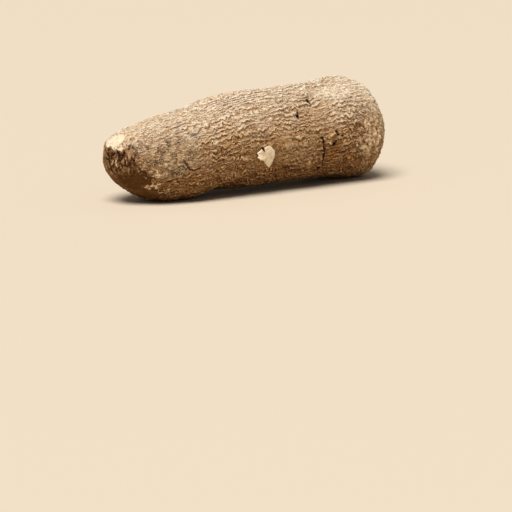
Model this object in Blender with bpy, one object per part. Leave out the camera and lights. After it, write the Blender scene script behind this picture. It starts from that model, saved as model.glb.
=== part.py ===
"""A yam tuber lying on its side, as one closed solid.

The long axis runs along X, from the narrow end at -X to the thick end at +X. The tuber rests on Z = 0, on the two
places where its weight has pressed the skin flat, and the origin is under the middle of it.
"""

import math

import bmesh
import bpy
from mathutils import Vector

# Driving dimensions, in metres.
LENGTH = 0.374
PRESSED_FLAT = 0.0018  # how far the two resting places are flattened
NARROW_END_FULLNESS = 2.2  # 2 is a round end; more is blunter
THICK_END_FULLNESS = 3.2

# The body's form at even steps from the narrow end to the thick end, in millimetres. The half width and the half
# height are those of the full body, before the ends round it off. The middle line's place is sideways and upwards.
HALF_WIDTHS = (66, 62, 58, 56, 55, 57, 62, 72, 87)
HALF_HEIGHTS = (64, 60, 55, 53, 54, 55, 58, 70, 88)
MIDDLE_SIDEWAYS = (5, 2, 0, -2, -4, -5, -4, 0, 8)
MIDDLE_UPWARDS = (55, 47, 50, 58, 61, 62, 62, 61, 52)
MILLIMETRE = 0.001

# How finely the solid is faceted.
AROUND = 44
ALONG = 52

SKIN_COLOUR = (0.36, 0.245, 0.145, 1.0)
SKIN_ROUGHNESS = 0.9


def remove_everything():
    for thing in list(bpy.data.objects):
        bpy.data.objects.remove(thing, do_unlink=True)


def make_collection(name):
    collection = bpy.data.collections.new(name)
    bpy.context.scene.collection.children.link(collection)
    return collection


def make_skin_material():
    material = bpy.data.materials.new("yam_skin")
    material.use_nodes = True
    shader = material.node_tree.nodes["Principled BSDF"]
    shader.inputs["Base Color"].default_value = SKIN_COLOUR
    shader.inputs["Roughness"].default_value = SKIN_ROUGHNESS
    shader.inputs["Metallic"].default_value = 0.0
    material.diffuse_color = SKIN_COLOUR
    return material


def along_body(values, place):
    """A smooth curve through evenly spaced values in millimetres, read at a place from -1 to 1, in metres."""
    last = len(values) - 1
    step = (place + 1) / 2 * last
    first = min(int(step), last - 1)
    part = step - first
    start, end = values[first], values[first + 1]
    before = values[first - 1] if first > 0 else 2 * start - end
    after = values[first + 2] if first + 2 <= last else 2 * end - start
    slope_in = (end - before) / 2
    slope_out = (after - start) / 2
    square, cube = part**2, part**3
    value = (2 * cube - 3 * square + 1) * start + (cube - 2 * square + part) * slope_in
    value += (3 * square - 2 * cube) * end + (cube - square) * slope_out
    return value * MILLIMETRE


def end_rounding(place):
    """The share of the full girth that is left at a place along the body: 1 in the middle, 0 at the tips."""
    fullness = NARROW_END_FULLNESS if place < 0 else THICK_END_FULLNESS
    return max(0.0, 1 - abs(place) ** fullness) ** (1 / fullness)


def body_point(ball_point):
    """Where a point of the unit ball goes on the tuber; the ball's poles, on Z, become the tuber's two tips."""
    place = max(-1.0, min(1.0, ball_point.z))
    angle = math.atan2(ball_point.y, ball_point.x)
    girth = end_rounding(place)
    sideways = along_body(MIDDLE_SIDEWAYS, place) + girth * along_body(HALF_WIDTHS, place) * math.cos(angle)
    upwards = along_body(MIDDLE_UPWARDS, place) + girth * along_body(HALF_HEIGHTS, place) * math.sin(angle)
    return Vector((place * LENGTH / 2, sideways, upwards))


def set_down(mesh):
    """Lowers the form onto Z = 0, flattens what would sink in, and centres the box on X and Y."""
    lowest = min(vertex.co.z for vertex in mesh.verts)
    for vertex in mesh.verts:
        vertex.co.z = max(0.0, vertex.co.z - lowest - PRESSED_FLAT)
    for axis in (0, 1):
        places = [vertex.co[axis] for vertex in mesh.verts]
        middle = (min(places) + max(places)) / 2
        for vertex in mesh.verts:
            vertex.co[axis] -= middle


def make_tuber(collection, material):
    mesh = bmesh.new()
    bmesh.ops.create_uvsphere(mesh, u_segments=AROUND, v_segments=ALONG, radius=1.0)
    for vertex in mesh.verts:
        vertex.co = body_point(vertex.co)
    set_down(mesh)

    data = bpy.data.meshes.new("yam_tuber")
    mesh.to_mesh(data)
    mesh.free()
    data.shade_smooth()
    data.materials.append(material)
    collection.objects.link(bpy.data.objects.new("yam_tuber", data))


def main():
    remove_everything()
    make_tuber(make_collection("yam"), make_skin_material())


main()
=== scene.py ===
"""A yam tuber lying on a pale surface: its corky skin, a loose flake of that skin, the light and the camera.

Lengths on the skin are in millimetres until the points are written back to a mesh, in metres.
"""

import itertools
import math
from types import SimpleNamespace
from typing import NamedTuple

import bmesh
import bpy
import numpy as np
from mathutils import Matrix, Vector


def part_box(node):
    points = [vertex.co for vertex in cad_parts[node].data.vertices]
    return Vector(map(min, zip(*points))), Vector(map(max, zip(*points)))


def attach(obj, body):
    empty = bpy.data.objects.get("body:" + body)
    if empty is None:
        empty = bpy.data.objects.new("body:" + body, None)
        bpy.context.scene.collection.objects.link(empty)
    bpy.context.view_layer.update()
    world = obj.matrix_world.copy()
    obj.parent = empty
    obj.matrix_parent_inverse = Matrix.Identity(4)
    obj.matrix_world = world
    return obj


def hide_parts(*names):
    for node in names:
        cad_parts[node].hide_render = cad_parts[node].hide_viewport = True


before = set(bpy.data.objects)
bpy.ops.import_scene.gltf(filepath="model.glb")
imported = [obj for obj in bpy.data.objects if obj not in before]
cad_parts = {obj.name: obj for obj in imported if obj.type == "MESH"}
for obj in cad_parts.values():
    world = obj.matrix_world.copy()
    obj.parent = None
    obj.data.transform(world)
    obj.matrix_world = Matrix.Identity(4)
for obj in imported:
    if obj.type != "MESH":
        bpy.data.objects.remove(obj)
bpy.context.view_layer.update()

MM = 0.001
TUBER = "yam_tuber"

# The skin's net of faces.
FACES_ACROSS = 79  # on each of the six sides of the block it is made from
CUTS_ALONG = 91  # across each half of the long middle faces

# The folds: how far apart they are and how high they stand.
WIDE_SPACING, WIDE_HEIGHT = 6.2, 1.9
FINE_SPACING, FINE_HEIGHT = 3.4, 1.0
RIB_SPACING, RIB_HEIGHT = 3.8, 1.4
LIP_PLACE = 0.72  # how far down a fold its lip stands, from crease to crease
SLIMMEST = 20  # the tuber's ends are taken to be this thick at least, so that folds don't crowd together

NEARBY = 9.0  # splits and pits are looked for this far around each point of the skin


class Spot(NamedTuple):
    """An egg-shaped part of the skin with a ragged edge."""

    middle: tuple
    reach: tuple
    ragged: float = 0.0  # how far the edge wanders, as a share of the reach
    grain: float = 1.0  # how coarsely it wanders
    seed: int = 0
    edge: tuple = (-0.15, 0.15)  # how far outside and inside it the spot comes in
    smooths: float = 0.0  # how much of the folds it takes away


SPOTS = {
    # the narrow end
    "flesh": Spot((-180, 3, 71), (9, 12, 9), 0.5, 6, 11, smooths=1.0),
    "dark_tip": Spot((-181, -9, 49), (15, 26, 17), 0.55, 8, 12),
    "scar": Spot((-167, -18, 26), (13, 24, 15), 0.8, 7, 13, smooths=0.9),
    "scar_underneath": Spot((-155, -14, 5), (19, 24, 12), 0.5, 9, 13),
    "smooth_below": Spot((-170, 0, 18), (26, 42, 24), 0.5, 12, 24, edge=(-0.2, 0.4), smooths=0.85),
    "smooth_neck": Spot((-143, -3, 87), (26, 17, 13), 0.5, 12, 14, edge=(-0.3, 0.4), smooths=0.8),
    "weathered": Spot((-136, -38, 56), (38, 22, 24), 0.5, 14, 18, edge=(-0.4, 0.4)),
    "speckled": Spot((-152, -30, 36), (26, 20, 26), 0.4, 10, 20),
    # the middle
    "calm_flank": Spot((-4, -56, 46), (46, 16, 20), 0.6, 16, 22, edge=(-0.2, 0.5), smooths=0.55),
    "pale_flank": Spot((38, -60, 38), (28, 14, 20), 0.5, 12, 23, edge=(-0.3, 0.4)),
    "brown_flank": Spot((60, -48, 88), (32, 18, 16), 0.5, 14, 19, edge=(-0.4, 0.6)),
    "ribbed": Spot((80, -57, 38), (11, 14, 18), 0.3, 8, 17),
    # the thick end
    "smooth_shoulder": Spot((104, -34, 106), (26, 15, 11), 0.5, 14, 15, edge=(-0.3, 0.5), smooths=0.75),
    "smear": Spot((136, -57, 52), (20, 16, 27), 0.8, 7, 16),
}

# The scar is crusted on its right and along its top, and its left runs out into brown.
SCAR_RIGHT_SIDE = (-166, -154)
SCAR_TOP = (33, 40)

# Swells and hollows of the body: middle, reach and height.
SWELLS = (
    ((-187, 8, 67), (14, 20, 14), 5.0),  # the upper corner of the narrow end
    ((-163, -8, 9), (26, 34, 18), -3.2),  # under the narrow end
    ((-106, -40, 14), (26, 22, 20), 1.6),  # the heel that it rests on
    ((-56, -30, 6), (36, 42, 26), -4.6),  # the waist behind the heel
    ((146, -8, 102), (38, 46, 26), 3.6),  # the upper corner of the thick end
    ((158, -32, 14), (18, 24, 14), 3.0),  # the lower corner of the thick end
)

# Splits in the skin: points along each, its half width and depth, and how far it swerves.
CRACK = ((61, -61, 60), (63, -61, 54), (65, -60, 48), (67, -58, 42), (69, -55, 34), (73, -46, 23))
SPLITS = (
    (CRACK, 0.85, 1.5, 1.0),
    (((57.3, -40, 103), (56.2, -44.5, 98.5)), 1.05, 2.6, 0.15),  # the upper slit
    (((32.8, -51, 89.5), (31.6, -53, 85.5)), 1.05, 2.6, 0.15),  # the lower slit
    # the split behind the flake's tear is there for its painted shade, which stands for the tear's shadow
    (((-24, -57, 56), (-20.6, -56.6, 50.8)), 0.5, 1.0, 0.2),  # behind the flake's tear
    (((-124, -45, 50), (-121, -46, 45), (-117, -46, 39), (-111, -47, 38), (-104, -49, 40)), 0.0, 1.2, 0.7),
)
CRACK_STEP = 0.5  # half of how much lower the skin lies on the crack's right

# Pits: middle, radius and depth.
PITS = (
    ((82, -62, 65), 1.4, 1.5),
    ((84, -62, 62), 1.0, 1.2),
    ((80, -61, 51), 1.8, 1.6),
    ((81, -60, 55), 0.9, 1.0),
    ((90, -62, 60), 1.3, 1.3),
    ((71, -46, 22), 3.0, 1.6),
)

# The loose flake's outline, from its upper corner round by the right, with a short tear in its upper edge.
FLAKE_OUTLINE = (
    (-15.5, -57.2, 57.5),
    (-11, -57.1, 54.5),
    (-7.4, -57.0, 50.7),
    (-6.5, -55.6, 44.3),
    (-7.8, -53.5, 38.6),
    (-9.8, -49.8, 31.5),
    (-14, -51.4, 34.4),
    (-18.0, -52.7, 37.3),
    (-23.7, -54.1, 41.5),
    (-27.6, -54.3, 42.2),
    (-31.0, -55.0, 45.2),
    (-29.6, -55.4, 46.9),
    (-31.9, -56.0, 50.2),
    (-28, -56.5, 52.6),
    (-25.6, -56.7, 54.2),
    (-20.8, -56.6, 49.4),
    (-22.0, -56.8, 55.6),
)
FLAKE_THICKNESS = 0.7
FLAKE_LIFT = 1.5  # how far it stands off the skin
FLAKE_BED = Spot((-19, -56, 46), (18, 14, 19))  # the skin under it
FLAKE_BED_HEIGHT = 0.3
FLAKE_CURLED = Spot((-26, -54, 41), (13, 40, 9))  # the part that curls away from the skin
CURL_HEIGHT = 2.6

# Colours, as red, green, blue and opacity. The underside has its own, darker with painted shade, and so has
# the dusty top, paler with painted top light. The lip colours are painted highlights, and the crease, valley,
# gap and split colours are painted shade.
SKIN_BROWN, SKIN_TAN = (0.31, 0.150, 0.050, 1), (0.51, 0.30, 0.132, 1)
SHADED_UNDERSIDE_BROWN = (0.35, 0.150, 0.041, 1)
DUST_AND_TOP_LIGHT = (0.93, 0.80, 0.62, 1)
GRAIN, SHADED_UNDERSIDE_GRAIN = (0.17, 0.080, 0.030, 1), (0.075, 0.030, 0.009, 1)
WEATHERED_TAN = (0.74, 0.56, 0.385, 1)
STAIN, PATCH = (0.11, 0.052, 0.020, 1), (0.090, 0.038, 0.012, 1)
GRIME, PAINTED_BOTTOM_SHADE = (0.045, 0.020, 0.008, 1), (0.060, 0.022, 0.006, 1)
VALLEY_SHADE = (0.84, 0.59, 0.37, 1)
LIP_HIGHLIGHT, TOP_LIP_HIGHLIGHT, UNDERSIDE_LIP_HIGHLIGHT = (0.90, 0.685, 0.425, 1), (0.98, 0.89, 0.735, 1), (0.86, 0.54, 0.25, 1)
CREASE_SHADE, TOP_CREASE_SHADE = (0.105, 0.036, 0.007, 1), (0.20, 0.088, 0.028, 1)
UNDERSIDE_CREASE_SHADE = (0.032, 0.010, 0.002, 1)
SMEAR, SMEAR_GAP_SHADE = (0.94, 0.675, 0.42, 1), (0.16, 0.075, 0.026, 1)
LUMP = (0.88, 0.665, 0.43, 1)
TIP_DARK, TIP_BROWN, TIP_PALE = (0.030, 0.012, 0.005, 1), (0.29, 0.145, 0.058, 1), (0.82, 0.62, 0.40, 1)
SCAR_DARK, SCAR_BROWN = (0.070, 0.026, 0.005, 1), (0.16, 0.070, 0.018, 1)
SCAR_CLOUD, SCAR_SPECK = (0.25, 0.115, 0.038, 1), (0.40, 0.21, 0.085, 1)
FLESH, STAINED_FLESH = (0.86, 0.75, 0.58, 1), (0.62, 0.47, 0.30, 1)
SPLIT_RIM_SHADE, SPLIT_CORE_SHADE = (0.070, 0.026, 0.008, 1), (0.008, 0.004, 0.002, 1)
FLAKE_TAN, FLAKE_PALE, FLAKE_FIBRE = (0.70, 0.53, 0.35, 1), (0.86, 0.71, 0.52, 1), (0.90, 0.77, 0.58, 1)
FLOOR = (0.60, 0.52, 0.42, 1)
GLOW, SURROUNDINGS = (1.0, 0.93, 0.84, 1), (0.88, 0.76, 0.585, 1)
LAMP = (1.0, 0.965, 0.90)

# The studio: strengths, degrees and metres.
FLOOR_SIZE = 24
GLOW_STRENGTH, SURROUNDINGS_STRENGTH = 0.25, 1.0  # the surroundings are what the camera sees past the floor
LAMP_STRENGTH, LAMP_SPREAD = 4.5, 35
LAMP_FROM = (-0.42, -0.26, 0.87)
EYE_TURN, EYE_DISTANCE, EYE_HEIGHT = 39.5, 1.548, 0.3184
AIM_RIGHT, AIM_NEARER = 0.0107, 0.382


# ------------------------------------------------------------------ noise


def noise_tables(seed):
    rng = np.random.default_rng(seed)
    slopes = rng.normal(size=(256, 3))
    slopes /= np.linalg.norm(slopes, axis=1, keepdims=True)
    return rng.permutation(256), slopes


def noise(points, seed):
    """Smooth noise from about -1 to 1, with one bump to each unit of length."""
    order, slopes = noise_tables(seed)
    cell = np.floor(points).astype(int)
    part = points - cell
    ease = part**3 * (part * (part * 6 - 15) + 10)
    total = np.zeros(len(points))
    for corner in itertools.product((0, 1), repeat=3):
        x, y, z = ((cell + corner) & 255).T
        pick = order[(order[(order[x] + y) & 255] + z) & 255]
        away = part - corner
        share = np.prod(np.where(corner, ease, 1 - ease), axis=1)
        total += share * (slopes[pick] * away).sum(axis=1)
    return total * 1.6


def rough_noise(points, seed, octaves=4, keep=0.55):
    total, size = np.zeros(len(points)), 1.0
    for octave in range(octaves):
        total += size * noise(points * 2**octave, seed + octave)
        size *= keep
    return total


def ramp(values, low, high):
    """0 below low, 1 above high, with a soft step between."""
    share = np.clip((values - low) / (high - low), 0, 1)
    return share * share * (3 - 2 * share)


# ------------------------------------------------------------------ the plain form


def only(thing):
    bpy.ops.object.select_all(action="DESELECT")
    thing.select_set(True)
    bpy.context.view_layer.objects.active = thing


def apply_modifier(thing, kind, **settings):
    only(thing)
    modifier = thing.modifiers.new(kind.lower(), kind)
    for name, value in settings.items():
        setattr(modifier, name, value)
    bpy.ops.object.modifier_apply(modifier=modifier.name)


def select_where(thing, test, of="verts"):
    """Selects the vertices or edges that pass a test, in edit mode."""
    mesh = bmesh.from_edit_mesh(thing.data)
    bpy.context.tool_settings.mesh_select_mode = (of == "verts", of == "edges", False)
    for part in (*mesh.verts, *mesh.edges, *mesh.faces):
        part.select = False
    for part in getattr(mesh, of):
        part.select = bool(test(part))
    mesh.select_flush_mode()
    bmesh.update_edit_mesh(thing.data)


def make_form():
    """An evenly divided skin over the solid: a block made round, drawn out, and laid on the tuber."""
    low, high = (np.array(corner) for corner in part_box(TUBER))
    length, height = high[0] - low[0], high[2] - low[2]
    bpy.ops.object.select_all(action="DESELECT")
    bpy.ops.mesh.primitive_cube_add(size=height)
    skin = bpy.context.object
    skin.name = skin.data.name = "tuber_skin"
    bpy.ops.object.mode_set(mode="EDIT")
    bpy.ops.mesh.select_all(action="SELECT")
    bpy.ops.mesh.subdivide(number_cuts=FACES_ACROSS - 1)
    bpy.ops.object.mode_set(mode="OBJECT")
    apply_modifier(skin, "CAST", factor=1.0, size=height / 2, use_radius_as_size=False)
    bpy.ops.object.mode_set(mode="EDIT")
    select_where(skin, lambda vertex: vertex.co.x > 0)
    bpy.ops.transform.translate(value=(length - height, 0, 0))
    for cuts in (1, CUTS_ALONG):
        select_where(skin, lambda edge: edge.calc_length() > (length - height) / 3, of="edges")
        bpy.ops.mesh.subdivide(number_cuts=cuts)
    bpy.ops.mesh.select_all(action="SELECT")
    bpy.ops.transform.translate(value=(low[0] + height / 2, 0, height / 2))
    bpy.ops.object.mode_set(mode="OBJECT")

    solid = bpy.data.objects[TUBER]
    apply_modifier(
        skin,
        "SHRINKWRAP",
        target=solid,
        wrap_method="PROJECT",
        use_negative_direction=True,
        use_positive_direction=True,
    )
    apply_modifier(skin, "SMOOTH", factor=0.5, iterations=30)
    return skin


def places_of(mesh):
    found = np.empty(len(mesh.vertices) * 3)
    mesh.vertices.foreach_get("co", found)
    return found.reshape(-1, 3)


def normals_of(mesh):
    found = np.empty(len(mesh.vertices) * 3, np.float32)
    mesh.vertices.foreach_get("normal", found)
    return found.reshape(-1, 3).astype(float)


def body_places(at):
    """For each point, in millimetres: how far along it is, and its place beside and above the middle line."""
    along = at[:, 0] - at[:, 0].min()
    stops = np.linspace(4, along.max() - 4, 26)
    reach = (stops[1] - stops[0]) * 0.75
    middle = []
    for stop in stops:
        ring = at[np.abs(along - stop) < reach]
        middle.append((ring.min(axis=0) + ring.max(axis=0)) / 2)
    middle = np.array(middle)
    beside = at[:, 1] - np.interp(along, stops, middle[:, 1])
    above = at[:, 2] - np.interp(along, stops, middle[:, 2])
    return along, beside, above


def inside_spot(at, spot):
    """How far inside a spot each point is: 1 in its middle, 0 on its edge, less outside."""
    away = np.linalg.norm((at - np.array(spot.middle)) / np.array(spot.reach), axis=1)
    return 1 - away + spot.ragged * rough_noise(at / spot.grain, spot.seed, octaves=3)


def distance_to_line(at, out, line):
    """How far each point of the skin is from a line that lies on it, measured along the skin."""
    best = np.full(len(at), 1e9)
    for start, end in itertools.pairwise(np.array(line, float)):
        run = end - start
        share = np.clip((at - start) @ run / max(run @ run, 1e-9), 0, 1)
        apart = at - start - share[:, None] * run
        above = (apart * out).sum(axis=1)
        level = np.linalg.norm(apart - above[:, None] * out, axis=1)
        best = np.minimum(best, np.where(np.abs(above) < NEARBY, level, NEARBY))
    return best


# ------------------------------------------------------------------ the skin's relief


class Surface:
    """The plain form's points, and what each one's place on the tuber means for its skin."""

    def __init__(self, mesh):
        self.at, self.out = places_of(mesh) / MM, normals_of(mesh)
        self.along, beside, above = body_places(self.at)
        self.body = np.stack([self.along, beside, above], axis=1)
        turn = np.arctan2(beside, above)  # 0 at the top, growing down both sides
        self.down = np.abs(turn) * np.clip(np.hypot(beside, above), SLIMMEST, None)

        length = self.along.max()
        self.thin_end = 1 - ramp(self.along, 8, 45)
        self.thick_end = ramp(self.along + 10 * noise(self.body / 30, 25), length - 75, length - 25)
        self.end_face = ramp(self.along, length - 24, length - 8)
        self.upward = self.out[:, 2] + 0.25 * noise(self.body / 22, 18)
        self.upward += 0.12 * noise(self.stretched(9, 5), 19)
        self.top = ramp(self.upward, 0.1, 0.95)

        self.inside = {name: inside_spot(self.at, spot) for name, spot in SPOTS.items()}
        self.inside["scar"] = np.maximum(self.inside["scar"], self.inside["scar_underneath"])
        self.spot = {name: ramp(self.inside[name], *spot.edge) for name, spot in SPOTS.items()}
        self.smooth = np.maximum.reduce([spot.smooths * self.spot[name] for name, spot in SPOTS.items()])
        self.worked = (1 - self.smooth) * (1 - 0.1 * self.top)

    def stretched(self, run, across):
        """Places for a noise whose bumps are this long and this wide."""
        return self.body / np.array([run, across, across])


def body_swells(skin):
    """Gentle unevenness all over, with the swells and hollows that have their own places."""
    rise = 1.3 * noise(skin.body / 48, 21)
    rise += 0.9 * noise(skin.stretched(26, 17), 22)
    rise += 0.6 * noise(skin.stretched(15, 8), 66)
    for middle, reach, height in SWELLS:
        away = np.linalg.norm((skin.at - np.array(middle)) / np.array(reach), axis=1)
        rise += height * (1 - ramp(away, 0.0, 1.0))
    return rise


def fold_height(run):
    """From 0 in a crease to 1 on the lip: a slow rise to the lip, then a steep drop to the next crease."""
    part = run % 1
    rise = np.clip(part / LIP_PLACE, 0, 1) ** 1.3
    drop = np.clip((1 - part) / (1 - LIP_PLACE), 0, 1)
    return np.minimum(rise, drop * drop * (3 - 2 * drop))


def fold_run(skin, spacing, seed):
    """How many folds down from the top line each point is, along lines that wander and crinkle."""

    def drawn_out(run, across):
        return skin.body / (spacing * np.array([run, across, across]))

    wander = 1.0 * noise(drawn_out(7, 3), seed) + 0.35 * noise(drawn_out(2.6, 1.6), seed + 1)
    waves = 0.7 * noise(drawn_out(0.85, 2.0), seed + 2)
    peaks = 1.15 * np.abs(noise(drawn_out(0.7, 1.7), seed + 3)) - 0.38
    crinkled = (1 - 0.4 * skin.top) * (0.55 + 0.45 * ramp(noise(drawn_out(5, 3), seed + 4), -0.4, 0.4))
    shiver = 0.12 * noise(drawn_out(0.35, 0.8), seed + 5)
    return skin.down / spacing + wander + crinkled * (waves + peaks) + shiver


def folds(skin, kept):
    """Wide folds that fade into fine ones, and the ribs beside the crack."""
    ribbed, weathered = skin.spot["ribbed"], skin.spot["weathered"]
    in_ribs = ribbed > 0.5
    widening = noise(skin.stretched(26, 9), 35) + 0.5 * noise(skin.stretched(10, 4), 36)
    widening += 0.3 * ramp(skin.along, 80, 150)

    wide_run = fold_run(skin, WIDE_SPACING, 31)
    wide_depth = ramp(widening, -0.35, 0.35) * skin.worked
    wide_depth *= (1 - 0.8 * skin.thin_end) * (1 - 0.75 * skin.thick_end)
    wide_depth *= (1 - 0.75 * weathered) * (1 - ribbed)

    ribs = skin.down / RIB_SPACING + 0.25 * noise(skin.body / 4, 47)
    fine_run = np.where(in_ribs, ribs, fold_run(skin, FINE_SPACING, 41))
    fine_depth = (1 - 0.85 * ramp(widening, -0.2, 0.45)) * skin.worked
    fine_depth *= (1 - 0.5 * skin.thin_end) * (1 - 0.4 * skin.thick_end)
    unbroken = ramp(noise(skin.stretched(5.5, 3.2), 37), -0.35, 0.15)
    fine_depth *= 1 - np.maximum(0.5, weathered) * (1 - unbroken)
    fine_depth = np.where(in_ribs, 1.0, fine_depth)
    fine_depth *= np.abs(2 * ribbed - 1)  # nothing where ribs meet folds

    kept.update(wide_run=wide_run, wide_depth=wide_depth, fine_run=fine_run, fine_depth=fine_depth)
    fine_height = FINE_HEIGHT + (RIB_HEIGHT - FINE_HEIGHT) * ribbed
    rise = WIDE_HEIGHT * wide_depth * (fold_height(wide_run) - 0.5)
    return rise + fine_height * fine_depth * (fold_height(fine_run) - 0.5)


def creases_and_crumples(skin, kept):
    """Creases that net the skin, and crumples that curl about, most of all on the thick end."""
    weathered = skin.spot["weathered"]
    creases = noise(skin.stretched(11, 4.4), 51) + 0.4 * noise(skin.stretched(4.4, 2.6), 52)
    rise = (0.6 + 0.3 * weathered) * skin.worked * (np.minimum(np.abs(creases) * 2.4, 1.2) - 0.5)

    curl = 1.6 * np.stack([noise(skin.body / 5, seed) for seed in (26, 27, 28)], axis=1)
    crumple = 1 - 2.2 * np.abs(noise((skin.body + curl) / np.array([6.5, 4.6, 4.6]), 53))
    crumple += 0.7 * noise(skin.stretched(3.2, 2.6), 54)
    crumpled = np.clip(0.25 + 1.1 * skin.thick_end + 0.2 * skin.thin_end + 0.3 * weathered, 0, 1.3)
    crumpled *= 1 - skin.smooth
    rise += 0.9 * crumpled * (1 - 0.3 * skin.thick_end) * (crumple - 0.4)
    big_crumple = 1 - 2.2 * np.abs(noise((skin.body + 2 * curl) / np.array([12, 9, 9]), 65))
    rise += 1.4 * skin.end_face * (big_crumple - 0.5)
    rise += 0.36 * rough_noise(skin.stretched(3.4, 2.2), 55, octaves=2) * (1 - 0.7 * skin.smooth)

    shown = crumple * crumpled * (1 - 0.2 * skin.thick_end) * (1 - 0.15 * skin.end_face)
    kept["creases"] = creases
    kept["creased"] = skin.worked * (1 - 0.6 * skin.thick_end) * (1 - 0.5 * weathered)
    kept["crumple"] = shown + 0.6 * skin.end_face * np.minimum(big_crumple, 0)
    return rise


def crusts_and_scars(skin, kept):
    """The tip's streaks, small lumps and crusts, the smear's blotches, and the sunken flesh and scar."""
    smear, scarred = skin.spot["smear"], skin.inside["scar"]
    on_right = ramp(skin.at[:, 0], *SCAR_RIGHT_SIDE)
    crust = ramp(scarred, -0.6, -0.25) * (1 - ramp(scarred, -0.1, 0.05))
    crust *= np.maximum(on_right, 0.9 * ramp(skin.at[:, 2], *SCAR_TOP))

    streaks = noise(skin.at / np.array([2.8, 2.8, 9]), 57)
    streaks += 0.5 * noise(skin.at / np.array([1.8, 1.8, 5]), 58)
    lumps = noise(skin.body / 3.4, 29) + 0.5 * noise(skin.body / 1.8, 30) - 1.1
    lumps += 0.75 * crust + 0.45 * skin.spot["speckled"] + 0.7 * smear
    blotches = 1.4 * noise(skin.body / 5.0, 59) + 0.7 * noise(skin.body / 2.6, 60)

    kept.update(flesh=skin.inside["flesh"], dark_tip=skin.inside["dark_tip"], scar=scarred)
    kept.update(streaks=streaks, lumps=lumps, smear=skin.inside["smear"] + 0.5 * blotches * smear)
    kept["browned"] = ramp(scarred, -0.9, 0.1) * (1 - on_right)
    rise = 0.9 * skin.spot["dark_tip"] * streaks + 0.65 * ramp(lumps, -0.1, 0.4) + smear * (0.6 + blotches)
    return rise - 0.8 * skin.spot["flesh"] - 0.5 * skin.spot["scar"]


def step_at_crack(skin):
    """The skin stands a little higher on the crack's left than on its right, and evens out away from it."""
    line = np.array(CRACK, float)
    crack_x = np.interp(-skin.at[:, 2], -line[:, 2], line[:, 0]) + 0.9 * noise(skin.body / 6.0, 62)
    past = skin.at[:, 0] - crack_x
    level_with_it = ramp(skin.at[:, 2], 14, 24) * (1 - ramp(skin.at[:, 2], 56, 66)) * (skin.at[:, 1] < 0)
    return -CRACK_STEP * np.tanh(past / 0.9) * np.exp(-np.abs(past) / 9) * level_with_it


def splits_and_pits(skin, kept):
    """Sinks the splits and pits, and keeps how far each point is outside the nearest one."""
    nearest, depths = np.full(len(skin.at), NEARBY), np.zeros(len(skin.at))
    swerve = 1.5 * noise(skin.body / 2.2, 61) + 1.3 * noise(skin.body / 6.0, 62)
    jagged = swerve[:, None] * np.array([1, 0, 0]) + noise(skin.body / 3.0, 63)[:, None] * np.array([0, 0, 1])
    for line, half_width, depth, swerves in SPLITS:
        away = distance_to_line(skin.at + swerves * jagged, skin.out, line) - half_width
        away -= 0.8 * swerves * noise(skin.body / 5.0, 64)
        depths = np.where(away < nearest, depth, depths)
        nearest = np.minimum(nearest, away)
    for middle, radius, depth in PITS:
        away = distance_to_line(skin.at + jagged, skin.out, (middle, middle)) - radius
        depths = np.where(away < nearest, depth, depths)
        nearest = np.minimum(nearest, away)
    kept["split"] = nearest
    return -depths * (1 - ramp(nearest, -0.8, 1.2))


def shades(skin, kept):
    """Keeps where the skin is dusty and paler with painted top light, where it is weathered, and where
    painted shade darkens its underside, most of all at the very bottom.
    """
    # dust, and painted top light: paler on the upward faces, less on the neck and the brown flank
    dust_and_light_on_top = 0.96 * skin.top * (1 - 0.25 * skin.spot["smooth_neck"]) * (1 - 0.35 * skin.spot["brown_flank"])
    dust_and_light_on_top += 0.3 * skin.spot["smooth_shoulder"] + 0.1 * skin.thick_end
    # painted shade: darker towards the underside, less on the pale flank and the thick end; the ribbed patch
    # by the crack is darkened with it
    under = ramp(-skin.upward, -0.15, 0.7)
    under *= (1 - 0.8 * skin.spot["pale_flank"]) * (1 - 0.3 * skin.thick_end)
    kept["dust_and_light_on_top"] = np.clip(dust_and_light_on_top, 0, 1)
    kept["weathered"] = skin.spot["weathered"]
    kept["under"] = np.maximum(under, skin.spot["ribbed"])
    # painted shade, strongest at the very bottom
    kept["bottom_shade"] = ramp(-skin.upward, 0.4, 0.85) * under


def keep_values(mesh, name, values):
    layer = mesh.attributes.new(name, "FLOAT", "POINT")
    layer.data.foreach_set("value", values.astype(np.float32))


def raise_skin(mesh):
    """Raises the folds, crumples, splits and pits out of the form, and keeps what the finish needs."""
    skin = Surface(mesh)
    kept = {}
    rise = body_swells(skin) + folds(skin, kept) + creases_and_crumples(skin, kept)
    rise += crusts_and_scars(skin, kept) + step_at_crack(skin)
    under_flake = ramp(inside_spot(skin.at, FLAKE_BED), 0.0, 0.35)
    rise += under_flake * (np.minimum(rise, FLAKE_BED_HEIGHT) - rise)
    rise += splits_and_pits(skin, kept)
    shades(skin, kept)

    moved = skin.at + skin.out * rise[:, None]
    moved[:, 2] = np.maximum(moved[:, 2], 0.0)
    mesh.vertices.foreach_set("co", (moved * MM).ravel())
    mesh.update()
    for name, values in kept.items():
        keep_values(mesh, name, values)


# ------------------------------------------------------------------ finishes


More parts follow.
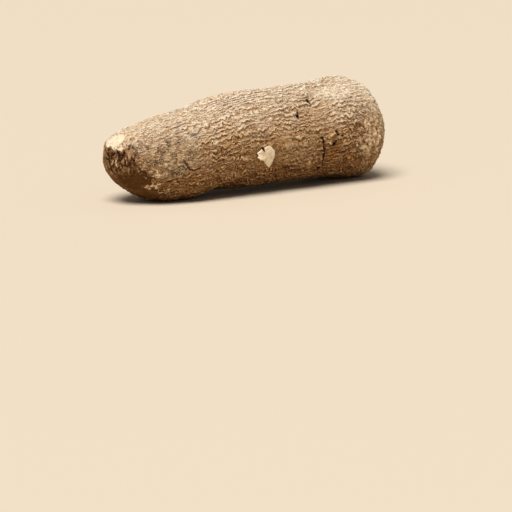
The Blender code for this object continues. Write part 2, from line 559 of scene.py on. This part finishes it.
class Nodes:
    """Adds nodes to a tree and joins them, so that a finish reads from top to bottom."""

    def __init__(self, tree):
        self.tree = tree

    def put(self, kind, **settings):
        node = self.tree.nodes.new(kind)
        for name, value in settings.items():
            setattr(node, name, value)
        return node

    def feed(self, socket, value):
        if isinstance(value, bpy.types.NodeSocket):
            self.tree.links.new(value, socket)
        else:
            socket.default_value = value

    def value(self, name):
        return self.put("ShaderNodeAttribute", attribute_name=name).outputs["Fac"]

    def math(self, operation, first, second=0.5, clamp=False):
        node = self.put("ShaderNodeMath", operation=operation, use_clamp=clamp)
        self.feed(node.inputs[0], first)
        self.feed(node.inputs[1], second)
        return node.outputs[0]

    def times(self, first, second):
        return self.math("MULTIPLY", first, second)

    def plus(self, first, second):
        return self.math("ADD", first, second)

    def largest(self, first, *others):
        for other in others:
            first = self.math("MAXIMUM", first, other)
        return first

    def mix(self, share, first, second, blend="MIX"):
        node = self.put("ShaderNodeMix", data_type="RGBA", blend_type=blend, clamp_factor=True)
        self.feed(node.inputs["Factor"], share)
        self.feed(node.inputs["A"], first)
        self.feed(node.inputs["B"], second)
        return node.outputs["Result"]

    def noise(self, where, scale, detail=4.0, roughness=0.6):
        node = self.put("ShaderNodeTexNoise", noise_dimensions="3D")
        self.feed(node.inputs["Vector"], where)
        node.inputs["Scale"].default_value = scale
        node.inputs["Detail"].default_value = detail
        node.inputs["Roughness"].default_value = roughness
        return node.outputs["Fac"]

    def spread(self, value, low, high, to_low=0.0, to_high=1.0):
        node = self.put("ShaderNodeMapRange", clamp=True, interpolation_type="SMOOTHSTEP")
        self.feed(node.inputs["Value"], value)
        node.inputs["From Min"].default_value = low
        node.inputs["From Max"].default_value = high
        node.inputs["To Min"].default_value = to_low
        node.inputs["To Max"].default_value = to_high
        return node.outputs["Result"]

    def stretched(self, along=1.0, upward=1.0):
        """Object coordinates drawn out along the tuber or upwards."""
        where = self.put("ShaderNodeTexCoord").outputs["Object"]
        node = self.put("ShaderNodeMapping", vector_type="POINT")
        self.feed(node.inputs["Vector"], where)
        node.inputs["Scale"].default_value = (1 / along, 1, 1 / upward)
        return node.outputs["Vector"]


def fold_marks():
    """A node group: where the lip, the valley and the crease of each fold lie, from how far down the folds it
    is; the lips get painted highlights, the valleys and creases painted shade.
    """
    group = bpy.data.node_groups.new("fold_marks", "ShaderNodeTree")
    for name in ("Run", "Depth", "Ragged"):
        group.interface.new_socket(name=name, in_out="INPUT", socket_type="NodeSocketFloat")
    for name in ("Lip", "Valley", "Crease", "Height"):
        group.interface.new_socket(name=name, in_out="OUTPUT", socket_type="NodeSocketFloat")
    nodes = Nodes(group)
    given = nodes.put("NodeGroupInput").outputs
    result = nodes.put("NodeGroupOutput").inputs
    part = nodes.math("FRACT", nodes.plus(given["Run"], given["Ragged"]))
    rest = nodes.math("SUBTRACT", 1.0, part)
    from_lip = nodes.math("ABSOLUTE", nodes.math("SUBTRACT", part, LIP_PLACE))
    lip = nodes.times(nodes.spread(from_lip, 0.22, 0.0), given["Depth"])
    edge = nodes.largest(nodes.spread(part, 0.11, 0.0), nodes.spread(rest, 0.13, 0.02))
    crease = nodes.times(edge, given["Depth"])
    shade_in_valleys = nodes.largest(nodes.spread(part, 0.50, 0.05), nodes.spread(rest, 0.24, 0.0))
    nodes.feed(result["Lip"], lip)
    nodes.feed(result["Valley"], nodes.times(shade_in_valleys, given["Depth"]))
    nodes.feed(result["Crease"], crease)
    nodes.feed(result["Height"], nodes.math("SUBTRACT", nodes.times(lip, 0.6), crease))
    return group


def new_material(name):
    material = bpy.data.materials.new(name)
    material.use_nodes = True
    return material, Nodes(material.node_tree), material.node_tree.nodes["Principled BSDF"]


def fine_noises(nodes):
    """The fine noises that several parts of the skin's finish share."""
    along = nodes.stretched(along=1.9)
    even = nodes.stretched()
    return SimpleNamespace(
        along=along,
        even=even,
        grain=nodes.noise(along, 430, 6, 0.72),
        speckle=nodes.noise(even, 640, 4, 0.7),
        clouds=nodes.noise(along, 45, 4, 0.55),
        jag=nodes.math("SUBTRACT", nodes.noise(even, 420, 3, 0.65), 0.5),
    )


def marks_on_skin(nodes, fine):
    """How much painted highlight each point has on a lip or crest, how much painted shade in a valley and in
    a crease, and its fine height.
    """
    group = fold_marks()
    ragged = nodes.times(fine.jag, 0.5)
    marks = []
    for name in ("wide", "fine"):
        fold = nodes.put("ShaderNodeGroup", node_tree=group)
        nodes.feed(fold.inputs["Run"], nodes.value(name + "_run"))
        nodes.feed(fold.inputs["Depth"], nodes.value(name + "_depth"))
        nodes.feed(fold.inputs["Ragged"], ragged)
        marks.append(fold.outputs)
    wide, small = marks

    crumple, creased = nodes.value("crumple"), nodes.value("creased")
    from_crease = nodes.math("ABSOLUTE", nodes.plus(nodes.value("creases"), ragged))
    crease = nodes.times(nodes.spread(from_crease, 0.13, 0.0), creased)
    # painted highlights on the crumples' crests
    crests = nodes.spread(nodes.plus(crumple, nodes.times(fine.jag, 1.5)), 0.45, 1.0, 0.0, 0.85)
    lip = nodes.largest(wide["Lip"], nodes.times(small["Lip"], 0.8), crests)

    # painted shade in the crumples' hollows and along the creases
    hollows = nodes.spread(crumple, 0.25, -0.7)
    along_crease = nodes.times(nodes.spread(from_crease, 0.36, 0.0), creased)
    shade_in_valleys = nodes.largest(wide["Valley"], small["Valley"], hollows, along_crease)

    # painted shade in the creases and the crumples' deepest hollows
    deep_hollows = nodes.spread(crumple, 0.0, -0.9, 0.0, 0.6)
    fold_creases = nodes.largest(wide["Crease"], nodes.times(small["Crease"], 0.9))
    shade_in_creases = nodes.largest(fold_creases, nodes.times(crease, 0.75), deep_hollows)
    shade_in_creases = nodes.times(shade_in_creases, nodes.spread(nodes.value("dust_and_light_on_top"), 0.0, 1.0, 1.0, 0.85))
    shade_in_creases = nodes.times(shade_in_creases, nodes.spread(nodes.noise(fine.along, 62, 3, 0.6), 0.38, 0.60, 0.35, 1.0))

    height = nodes.plus(nodes.times(wide["Height"], 0.8), nodes.times(small["Height"], 0.5))
    height = nodes.plus(height, nodes.times(crease, -0.4))
    return SimpleNamespace(lip=lip, shade_in_valleys=shade_in_valleys, shade_in_creases=shade_in_creases, height=height)


def skin_colour(nodes, fine, marks):
    """Brown skin with a dusty top paler with painted top light, an underside darker with painted shade,
    painted highlights along its lips and painted shade in its valleys and creases.
    """
    under, dust_and_light_on_top, weathered = nodes.value("under"), nodes.value("dust_and_light_on_top"), nodes.value("weathered")
    colour = nodes.mix(nodes.spread(fine.clouds, 0.3, 0.7), SKIN_BROWN, SKIN_TAN)
    # painted shade: browner and darker on the underside
    colour = nodes.mix(under, colour, SHADED_UNDERSIDE_BROWN)
    # dust, and painted top light on the upward faces
    colour = nodes.mix(nodes.times(dust_and_light_on_top, 0.95), colour, DUST_AND_TOP_LIGHT)
    # painted shade: darker grain on the underside
    dark_grain = nodes.mix(under, GRAIN, SHADED_UNDERSIDE_GRAIN)
    colour = nodes.mix(nodes.spread(fine.grain, 0.38, 0.58, 0.85, 0.0), colour, dark_grain)

    colour = nodes.mix(nodes.times(weathered, 0.5), colour, WEATHERED_TAN)
    stains = nodes.times(nodes.spread(nodes.noise(fine.even, 75, 3, 0.55), 0.52, 0.64), weathered)
    colour = nodes.mix(nodes.times(stains, 0.85), colour, STAIN)
    # dark patches on the weathered part, and on the underside as more painted shade
    patches = nodes.spread(nodes.noise(fine.even, 120, 3, 0.6), 0.48, 0.60)
    patched = nodes.largest(nodes.times(under, 0.7), nodes.times(weathered, 0.8))
    colour = nodes.mix(nodes.times(patches, patched), colour, PATCH)

    # painted shade over the lower part of each fold, the crumples' hollows and along the creases
    colour = nodes.mix(nodes.times(marks.shade_in_valleys, 0.9), colour, VALLEY_SHADE, blend="MULTIPLY")
    # pale specks in the lips' colours, then painted highlights on the lips and crests
    pale = nodes.mix(under, nodes.mix(dust_and_light_on_top, LIP_HIGHLIGHT, TOP_LIP_HIGHLIGHT), UNDERSIDE_LIP_HIGHLIGHT)
    colour = nodes.mix(nodes.spread(fine.speckle, 0.5, 0.66, 0.0, 0.7), colour, pale)
    colour = nodes.mix(nodes.times(marks.lip, 0.95), colour, pale)
    # painted shade in dark specks over the very bottom
    bottom_shade_spots = nodes.times(nodes.value("bottom_shade"), nodes.spread(fine.speckle, 0.66, 0.5, 0.0, 0.55))
    colour = nodes.mix(bottom_shade_spots, colour, PAINTED_BOTTOM_SHADE)

    smeared = nodes.plus(nodes.value("smear"), nodes.times(fine.jag, 2.0))
    colour = nodes.mix(nodes.spread(smeared, 0.0, 0.7, 0.0, 0.75), colour, SMEAR)
    # painted shade in the gaps between the smear's lumps
    shade_in_gaps = nodes.times(nodes.spread(smeared, -0.3, 0.1), nodes.spread(nodes.value("lumps"), -0.45, -0.85))
    colour = nodes.mix(nodes.times(shade_in_gaps, 0.7), colour, SMEAR_GAP_SHADE)

    # painted shade in the creases, browner on the dusty top and darkest underneath
    shade_colour_in_creases = nodes.mix(nodes.spread(dust_and_light_on_top, 0.45, 1.0), CREASE_SHADE, TOP_CREASE_SHADE)
    shade_colour_in_creases = nodes.mix(under, shade_colour_in_creases, UNDERSIDE_CREASE_SHADE)
    colour = nodes.mix(marks.shade_in_creases, colour, shade_colour_in_creases)
    grime = nodes.times(weathered, nodes.spread(fine.grain, 0.6, 0.42))
    colour = nodes.mix(nodes.times(grime, 0.4), colour, GRIME)
    lumps = nodes.plus(nodes.value("lumps"), fine.jag)
    return nodes.mix(nodes.spread(lumps, -0.05, 0.3, 0.0, 0.85), colour, LUMP)


def over_dark_tip(nodes, fine, colour):
    """Dark upright fibres with brown and pale ones between them."""
    fibres = nodes.math("SUBTRACT", nodes.noise(nodes.stretched(upward=2.2), 400, 4, 0.7), 0.5)
    fibres = nodes.plus(nodes.times(fibres, 4.5), nodes.times(nodes.value("streaks"), 0.6))
    tip = nodes.mix(nodes.spread(fibres, -0.3, 0.35), TIP_DARK, TIP_BROWN)
    tip = nodes.mix(nodes.spread(fibres, 0.4, 0.75), tip, TIP_PALE)
    inside = nodes.plus(nodes.value("dark_tip"), fine.jag)
    return nodes.mix(nodes.spread(inside, -0.25, 0.2), colour, tip)


def over_scar(nodes, fine, colour):
    """Bare brown skin, clouded and specked, which runs out softly on its left."""
    scar = nodes.mix(nodes.spread(fine.grain, 0.35, 0.75), SCAR_DARK, SCAR_BROWN)
    scar = nodes.mix(nodes.spread(fine.clouds, 0.42, 0.68, 0.0, 0.7), scar, SCAR_CLOUD)
    scar = nodes.mix(nodes.spread(fine.speckle, 0.56, 0.66, 0.0, 0.5), scar, SCAR_SPECK)
    inside = nodes.plus(nodes.value("scar"), nodes.times(fine.jag, 0.8))
    colour = nodes.mix(nodes.times(nodes.value("browned"), 0.75), colour, scar)
    return nodes.mix(nodes.spread(inside, -0.1, 0.1), colour, scar)


def over_flesh(nodes, fine, colour):
    flesh = nodes.mix(nodes.spread(fine.grain, 0.42, 0.7), FLESH, STAINED_FLESH)
    inside = nodes.plus(nodes.value("flesh"), nodes.times(fine.jag, 0.5))
    return nodes.mix(nodes.spread(inside, -0.06, 0.06), colour, flesh)


def over_splits(nodes, fine, colour):
    # painted shade along the splits and pits, nearly black in their middles
    outside = nodes.plus(nodes.value("split"), nodes.times(fine.jag, 1.2))
    colour = nodes.mix(nodes.spread(outside, 1.6, 0.2, 0.0, 0.8), colour, SPLIT_RIM_SHADE)
    return nodes.mix(nodes.spread(outside, 0.6, -0.2), colour, SPLIT_CORE_SHADE)


def add_bump(nodes, shader, height, strength, distance):
    bump = nodes.put("ShaderNodeBump")
    bump.inputs["Strength"].default_value = strength
    bump.inputs["Distance"].default_value = distance
    nodes.feed(bump.inputs["Height"], height)
    nodes.feed(shader.inputs["Normal"], bump.outputs["Normal"])


def corky_skin():
    material, nodes, shader = new_material("corky_yam_skin")
    fine = fine_noises(nodes)
    marks = marks_on_skin(nodes, fine)
    colour = skin_colour(nodes, fine, marks)
    for lay_over in (over_dark_tip, over_scar, over_flesh, over_splits):
        colour = lay_over(nodes, fine, colour)
    height = nodes.plus(marks.height, nodes.times(fine.grain, 2.4))
    height = nodes.plus(height, nodes.times(fine.speckle, 1.2))
    add_bump(nodes, shader, height, strength=1.0, distance=1.0 * MM)
    nodes.feed(shader.inputs["Base Color"], colour)
    nodes.feed(shader.inputs["Roughness"], nodes.spread(fine.grain, 0.3, 0.7, 0.78, 0.95))
    shader.inputs["Specular IOR Level"].default_value = 0.06
    return material


def flake_skin():
    """The flake's pale inner side: dry, faintly fibrous and a little stained."""
    material, nodes, shader = new_material("pale_flake")
    fibres = nodes.noise(nodes.stretched(along=0.5), 700, 5, 0.6)
    stains = nodes.noise(nodes.stretched(), 190, 3, 0.5)
    colour = nodes.mix(nodes.spread(stains, 0.35, 0.65), FLAKE_TAN, FLAKE_PALE)
    colour = nodes.mix(nodes.spread(fibres, 0.45, 0.7, 0.0, 0.5), colour, FLAKE_FIBRE)
    add_bump(nodes, shader, fibres, strength=0.7, distance=0.5 * MM)
    nodes.feed(shader.inputs["Base Color"], colour)
    nodes.feed(shader.inputs["Roughness"], nodes.spread(fibres, 0.3, 0.7, 0.7, 0.9))
    shader.inputs["Specular IOR Level"].default_value = 0.15
    return material


# ------------------------------------------------------------------ pieces


def lay_out_flat(skin):
    """A map of the plain form in a few large pieces, for baking the finish."""
    only(skin)
    skin.data.uv_layers.new(name="OFBake")
    bpy.ops.object.mode_set(mode="EDIT")
    bpy.ops.mesh.select_all(action="SELECT")
    bpy.ops.uv.smart_project(angle_limit=math.radians(66), island_margin=0.004, scale_to_bounds=True)
    bpy.ops.object.mode_set(mode="OBJECT")


def make_skin():
    skin = make_form()
    lay_out_flat(skin)
    raise_skin(skin.data)
    skin.data.shade_smooth()
    skin.data.materials.append(corky_skin())
    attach(skin, "root")
    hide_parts(TUBER)


def fan_out(flake):
    """Turns a round fan of faces into the flake's outline, and divides it finely."""
    outline = [Vector(point) * MM for point in FLAKE_OUTLINE]
    middle = sum(outline, Vector()) / len(outline)
    bpy.ops.object.mode_set(mode="EDIT")
    mesh = bmesh.from_edit_mesh(flake.data)
    ring = sorted(
        (vertex for vertex in mesh.verts if vertex.co.length > 0.005),
        key=lambda vertex: math.atan2(vertex.co.x, vertex.co.y),
    )
    for vertex in mesh.verts:
        vertex.co = middle
    for vertex, place in zip(ring, outline):
        vertex.co = place
    bmesh.update_edit_mesh(flake.data)
    bpy.ops.mesh.select_all(action="SELECT")
    bpy.ops.mesh.subdivide(number_cuts=9)
    bpy.ops.object.mode_set(mode="OBJECT")


def make_flake():
    """A thin scale of skin that has come loose and curls away at its lower left."""
    bpy.ops.object.select_all(action="DESELECT")
    bpy.ops.mesh.primitive_circle_add(vertices=len(FLAKE_OUTLINE), radius=0.01, fill_type="TRIFAN")
    flake = bpy.context.object
    flake.name = flake.data.name = "skin_flake"
    fan_out(flake)
    solid = bpy.data.objects[TUBER]
    apply_modifier(
        flake,
        "SHRINKWRAP",
        target=solid,
        wrap_method="NEAREST_SURFACEPOINT",
        wrap_mode="ON_SURFACE",
    )
    at = places_of(flake.data) / MM
    curled = ramp(inside_spot(at, FLAKE_CURLED), 0.0, 1.0)
    at[:, 1] -= FLAKE_LIFT + CURL_HEIGHT * curled + 0.35 * noise(at / 5, 81)
    at += 0.25 * np.stack([noise(at / 1.5, seed) for seed in (83, 82, 84)], axis=1)
    flake.data.vertices.foreach_set("co", (at * MM).ravel())
    apply_modifier(flake, "SOLIDIFY", thickness=FLAKE_THICKNESS * MM, offset=0)
    only(flake)
    bpy.ops.object.mode_set(mode="EDIT")
    bpy.ops.mesh.select_all(action="SELECT")
    bpy.ops.mesh.normals_make_consistent(inside=False)
    bpy.ops.object.mode_set(mode="OBJECT")
    flake.data.shade_smooth()
    flake.data.materials.append(flake_skin())
    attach(flake, "root")


# ------------------------------------------------------------------ studio


def make_floor():
    bpy.ops.object.select_all(action="DESELECT")
    bpy.ops.mesh.primitive_plane_add(size=FLOOR_SIZE)
    floor = bpy.context.object
    floor.name = "floor"
    material, _, shader = new_material("pale_floor")
    shader.inputs["Base Color"].default_value = FLOOR
    shader.inputs["Roughness"].default_value = 0.9
    floor.data.materials.append(material)


def make_light():
    """A broad soft light overhead, a dim warm glow all round, and pale surroundings past the floor's edge."""
    world = bpy.data.worlds.new("studio")
    world.use_nodes = True
    nodes = Nodes(world.node_tree)
    glow = world.node_tree.nodes["Background"]
    seen = nodes.put("ShaderNodeLightPath").outputs["Is Camera Ray"]
    nodes.feed(glow.inputs["Color"], nodes.mix(seen, GLOW, SURROUNDINGS))
    nodes.feed(glow.inputs["Strength"], nodes.spread(seen, 0.0, 1.0, GLOW_STRENGTH, SURROUNDINGS_STRENGTH))
    bpy.context.scene.world = world
    light = bpy.data.lights.new("overhead_light", "SUN")
    light.angle = math.radians(LAMP_SPREAD)
    light.energy = LAMP_STRENGTH
    light.color = LAMP
    lamp = bpy.data.objects.new("overhead_light", light)
    bpy.context.scene.collection.objects.link(lamp)
    lamp.rotation_euler = (-Vector(LAMP_FROM)).to_track_quat("-Z", "Y").to_euler()


def make_camera():
    """The eye is a little above the tuber's top, on the side of its narrow end."""
    turn = math.radians(EYE_TURN)
    forward = Vector((math.sin(turn), math.cos(turn), 0))
    right = Vector((math.cos(turn), -math.sin(turn), 0))
    aim = right * AIM_RIGHT - forward * AIM_NEARER
    camera = bpy.data.cameras.new("camera")
    camera.lens = 120
    camera.sensor_width = 36
    camera.clip_end = 50
    eye = bpy.data.objects.new("camera", camera)
    bpy.context.scene.collection.objects.link(eye)
    eye.location = aim - forward * EYE_DISTANCE + Vector((0, 0, EYE_HEIGHT))
    eye.rotation_euler = (aim - eye.location).to_track_quat("-Z", "Y").to_euler()
    bpy.context.scene.camera = eye
    bpy.context.scene.view_settings.view_transform = "Standard"


def main():
    make_camera()
    make_light()
    make_floor()
    make_skin()
    make_flake()


main()
